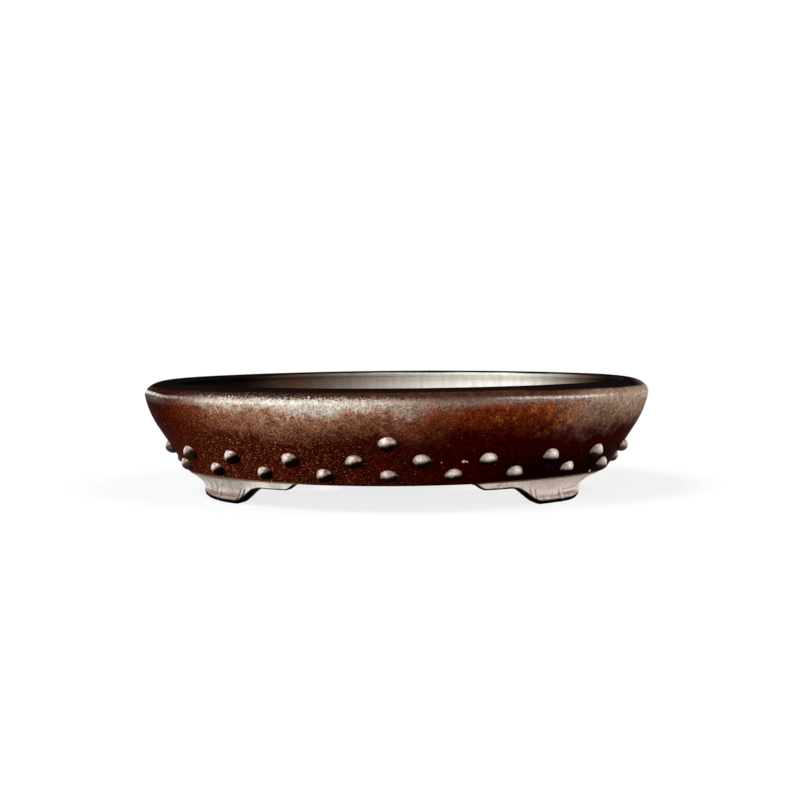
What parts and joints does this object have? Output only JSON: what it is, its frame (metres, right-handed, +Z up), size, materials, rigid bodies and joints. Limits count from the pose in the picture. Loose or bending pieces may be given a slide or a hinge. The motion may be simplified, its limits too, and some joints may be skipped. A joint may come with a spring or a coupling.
{
  "type": "oval bonsai pot",
  "caption": "Shallow oval stoneware bonsai pot with a flared wall, inward rim, bracket feet, staggered rows of round rivets, and drain and wire holes in the floor.",
  "frame": {"origin": "middle of the oval plan, on the surface that the feet stand on", "axes": "+X along the pot's length, -Y towards its front, +Z up"},
  "size_m": [0.33, 0.2352, 0.0745],
  "materials": {
    "body_clay": "unglazed reddish-brown stoneware with a fine pale speckle and a soft burnished sheen",
    "rim_clay": "unglazed reddish-brown stoneware, burnished on the shoulder",
    "floor_clay": "bare grey-brown stoneware, wiped smooth",
    "foot_clay": "bare pinkish-grey stoneware, pressed in a mould",
    "rivet_clay": "bare pinkish-grey stoneware, hand-pressed"
  },
  "bodies": {
    "root": {"floor_slab": "floor_clay", "wall": "body_clay", "rim": "rim_clay", "rivet_front": "rivet_clay", "foot_front_right": "foot_clay", "foot_front_left": "foot_clay", "foot_rear_right": "foot_clay", "foot_rear_left": "foot_clay", "rivet_upper_1": "rivet_clay", "rivet_upper_2": "rivet_clay", "rivet_upper_3": "rivet_clay", "rivet_upper_4": "rivet_clay", "rivet_upper_5": "rivet_clay", "rivet_upper_6": "rivet_clay", "rivet_upper_7": "rivet_clay", "rivet_upper_8": "rivet_clay", "rivet_upper_9": "rivet_clay", "rivet_upper_10": "rivet_clay", "rivet_upper_11": "rivet_clay", "rivet_upper_12": "rivet_clay", "rivet_upper_13": "rivet_clay", "rivet_upper_14": "rivet_clay", "rivet_upper_15": "rivet_clay", "rivet_upper_16": "rivet_clay", "rivet_upper_17": "rivet_clay", "rivet_upper_18": "rivet_clay", "rivet_upper_19": "rivet_clay", "rivet_upper_20": "rivet_clay", "rivet_lower_1": "rivet_clay", "rivet_lower_2": "rivet_clay", "rivet_lower_3": "rivet_clay", "rivet_lower_4": "rivet_clay", "rivet_lower_5": "rivet_clay", "rivet_lower_6": "rivet_clay", "rivet_lower_7": "rivet_clay", "rivet_lower_8": "rivet_clay", "rivet_lower_9": "rivet_clay", "rivet_lower_10": "rivet_clay", "rivet_lower_11": "rivet_clay", "rivet_lower_12": "rivet_clay", "rivet_lower_13": "rivet_clay", "rivet_lower_14": "rivet_clay", "rivet_lower_15": "rivet_clay", "rivet_lower_16": "rivet_clay", "rivet_lower_17": "rivet_clay", "rivet_lower_18": "rivet_clay", "rivet_lower_19": "rivet_clay", "rivet_lower_20": "rivet_clay"}
  },
  "joints": []
}
